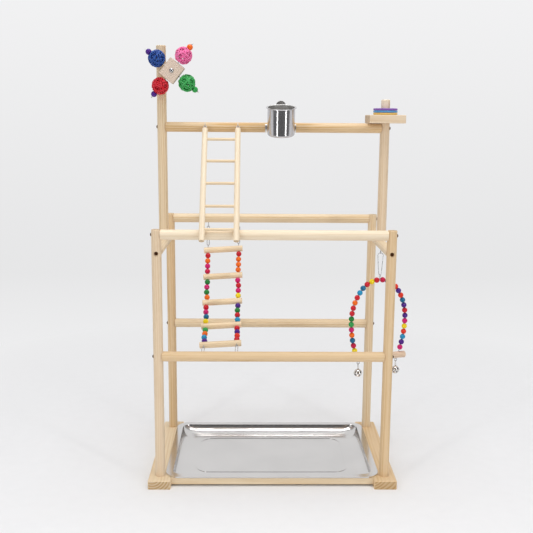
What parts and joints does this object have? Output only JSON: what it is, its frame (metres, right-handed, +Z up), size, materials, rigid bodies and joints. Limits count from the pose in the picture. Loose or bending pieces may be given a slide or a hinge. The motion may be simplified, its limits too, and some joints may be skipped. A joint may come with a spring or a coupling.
{
  "type": "parrot play stand",
  "caption": "Wooden dowel play stand for a parrot, with perches, ladders, a beaded swing, a spinner toy, a ring peg, a steel cup and a tray below.",
  "frame": {"origin": "on the floor, midway between the four posts", "axes": "+Z up, perches along X, the front with the cup and the ladder towards -Y"},
  "size_m": [0.581, 0.3407, 0.9274],
  "materials": {
    "pine": "clear, satin",
    "pine_amber": "clear, satin, warmer grain",
    "plywood": "sanded, clear",
    "beads_dyed": "dyed in many colours, waxed",
    "dyed_yellow": "dyed, waxed",
    "dyed_blue": "dyed, waxed",
    "dyed_purple": "dyed, waxed",
    "rattan_blue": "dyed rattan, matte",
    "rattan_pink": "dyed rattan, matte",
    "rattan_green": "dyed rattan, matte",
    "rattan_red": "dyed rattan, matte",
    "zinc": "bright zinc plate",
    "steel_sheet": "polished sheet",
    "bell_metal": "bright nickel plate"
  },
  "bodies": {
    "stand": {"foot_left": "pine", "foot_right": "pine", "base_rail_front": "pine", "base_rail_rear": "pine", "post_front_left": "pine", "post_front_right": "pine", "post_rear_left": "pine_amber", "post_rear_right": "pine", "perch_front_upper": "pine", "perch_front_lower": "pine", "perch_rear_upper": "pine", "perch_rear_lower": "pine", "perch_top": "pine_amber", "side_beam_left": "pine", "side_beam_right": "pine", "mast_left": "pine_amber", "mast_right": "pine", "frame_screws": "zinc", "toy_platform": "pine", "ring_peg": "pine", "spinner_axle": "zinc", "cup_holder": "steel_sheet", "cup_screws": "zinc", "screw_hooks": "zinc"},
    "spinner": {"spinner_hub": "plywood", "spinner_wires": "zinc", "spinner_beads": "beads_dyed"},
    "ball_blue": {"rattan_ball_blue": "rattan_blue"},
    "ball_red": {"rattan_ball_red": "rattan_red"},
    "ball_green": {"rattan_ball_green": "rattan_green"},
    "ball_pink": {"rattan_ball_pink": "rattan_pink"},
    "cup": {"cup": "steel_sheet"},
    "tray": {"tray": "steel_sheet"},
    "ladder": {"ladder_rail_left": "pine", "ladder_rail_right": "pine", "ladder_rungs": "pine", "ladder_eyes": "zinc"},
    "ring_yellow": {"ring_yellow": "dyed_yellow"},
    "ring_blue": {"ring_blue": "dyed_blue"},
    "ring_purple": {"ring_purple": "dyed_purple"},
    "rope_links_upper": {"bead_links_upper": "zinc"},
    "rope_section_1": {"bead_rung_1": "pine", "bead_row_1": "beads_dyed", "bead_eyes_upper": "zinc"},
    "rope_section_2": {"bead_rung_2": "pine", "bead_row_2": "beads_dyed"},
    "rope_section_3": {"bead_rung_3": "pine", "bead_row_3": "beads_dyed"},
    "rope_section_4": {"bead_rung_4": "pine", "bead_row_4": "beads_dyed", "bead_rung_5": "pine", "bead_eyes_lower": "zinc"},
    "rope_links_lower": {"bead_links_lower": "zinc"},
    "swing_clip": {"swing_clip": "zinc"},
    "swing": {"swing_wire": "zinc", "swing_beads": "beads_dyed", "swing_perch": "pine"},
    "bell_left": {"bell_left": "bell_metal"},
    "bell_right": {"bell_right": "bell_metal"}
  },
  "joints": [
    {"name": "spinner_turn", "type": "hinge", "parent": "stand", "child": "spinner", "pos_m": [-0.2148, -0.032, 0.8712], "axis": [0, -1, 0], "continuous": true},
    {"name": "ball_blue_roll", "type": "hinge", "parent": "spinner", "child": "ball_blue", "pos_m": [-0.24587, -0.032, 0.89591], "axis": [-0.7826, 0, 0.6225], "continuous": true},
    {"name": "ball_red_roll", "type": "hinge", "parent": "spinner", "child": "ball_red", "pos_m": [-0.23951, -0.032, 0.84013], "axis": [-0.6225, 0, -0.7826], "continuous": true},
    {"name": "ball_green_roll", "type": "hinge", "parent": "spinner", "child": "ball_green", "pos_m": [-0.18373, -0.032, 0.84649], "axis": [0.7826, 0, -0.6225], "continuous": true},
    {"name": "ball_pink_roll", "type": "hinge", "parent": "spinner", "child": "ball_pink", "pos_m": [-0.19009, -0.032, 0.90227], "axis": [0.6225, 0, 0.7826], "continuous": true},
    {"name": "cup_lift", "type": "slide", "parent": "stand", "child": "cup", "axis": [0, -0.1908, 0.9816], "range_m": [0, 0.045]},
    {"name": "tray_lift", "type": "slide", "parent": "stand", "child": "tray", "axis": [0, 0, 1], "range_m": [0, 0.12]},
    {"name": "ladder_swing", "type": "hinge", "parent": "stand", "child": "ladder", "pos_m": [-0.112, -0.01701, 0.75805], "axis": [-1, 0, 0], "range_deg": [0, 75]},
    {"name": "ring_yellow_lift", "type": "slide", "parent": "stand", "child": "ring_yellow", "axis": [0, 0, 1], "range_m": [0, 0.03]},
    {"name": "ring_blue_lift", "type": "slide", "parent": "ring_yellow", "child": "ring_blue", "axis": [0, 0, 1], "range_m": [0, 0.03]},
    {"name": "ring_purple_lift", "type": "slide", "parent": "ring_blue", "child": "ring_purple", "axis": [0, 0, 1], "range_m": [0, 0.03]},
    {"name": "rope_bend_1", "type": "hinge", "parent": "stand", "child": "rope_links_upper", "pos_m": [-0.114, 0.13855, 0.52175], "axis": [1, 0, 0], "range_deg": [-2.86, 2.86]},
    {"name": "rope_bend_2", "type": "hinge", "parent": "rope_links_upper", "child": "rope_section_1", "pos_m": [-0.114, 0.12021, 0.48055], "axis": [1, 0, 0], "range_deg": [-4, 4]},
    {"name": "rope_bend_3", "type": "hinge", "parent": "rope_section_1", "child": "rope_section_2", "pos_m": [-0.114, 0.08321, 0.41159], "axis": [1, 0, 0], "range_deg": [-1.04, 1.04]},
    {"name": "rope_bend_4", "type": "hinge", "parent": "rope_section_2", "child": "rope_section_3", "pos_m": [-0.114, 0.04349, 0.35888], "axis": [1, 0, 0], "range_deg": [-3.97, 3.97]},
    {"name": "rope_bend_5", "type": "hinge", "parent": "rope_section_3", "child": "rope_section_4", "pos_m": [-0.114, -0.00632, 0.31558], "axis": [1, 0, 0], "range_deg": [-1.15, 1.15]},
    {"name": "rope_bend_6", "type": "hinge", "parent": "rope_section_4", "child": "rope_links_lower", "pos_m": [-0.114, -0.07934, 0.2888], "axis": [1, 0, 0], "range_deg": [-1.62, 1.62]},
    {"name": "swing_sway", "type": "hinge", "parent": "stand", "child": "swing_clip", "pos_m": [0.2405, 0, 0.4822], "axis": [1, 0, 0], "range_deg": [-25, 25]},
    {"name": "swing_swivel", "type": "hinge", "parent": "swing_clip", "child": "swing", "pos_m": [0.2405, 0, 0.4322], "axis": [0, 0, 1], "range_deg": [-45, 20]},
    {"name": "bell_left_ring", "type": "hinge", "parent": "swing", "child": "bell_left", "pos_m": [0.19582, -0.01281, 0.22824], "axis": [0.9613, 0.2756, 0], "range_deg": [-20, 20]},
    {"name": "bell_right_ring", "type": "hinge", "parent": "swing", "child": "bell_right", "pos_m": [0.28518, 0.01281, 0.22824], "axis": [0.9613, 0.2756, 0], "range_deg": [-20, 20]}
  ],
  "couplings": [
    {"joint": "rope_bend_1", "follows": "rope_bend_2", "ratio": -0.70067},
    {"joint": "rope_bend_3", "follows": "rope_bend_2", "ratio": 0.25435},
    {"joint": "rope_bend_4", "follows": "rope_bend_2", "ratio": -0.97244},
    {"joint": "rope_bend_5", "follows": "rope_bend_2", "ratio": 0.2809},
    {"joint": "rope_bend_6", "follows": "rope_bend_2", "ratio": 0.39649}
  ]
}
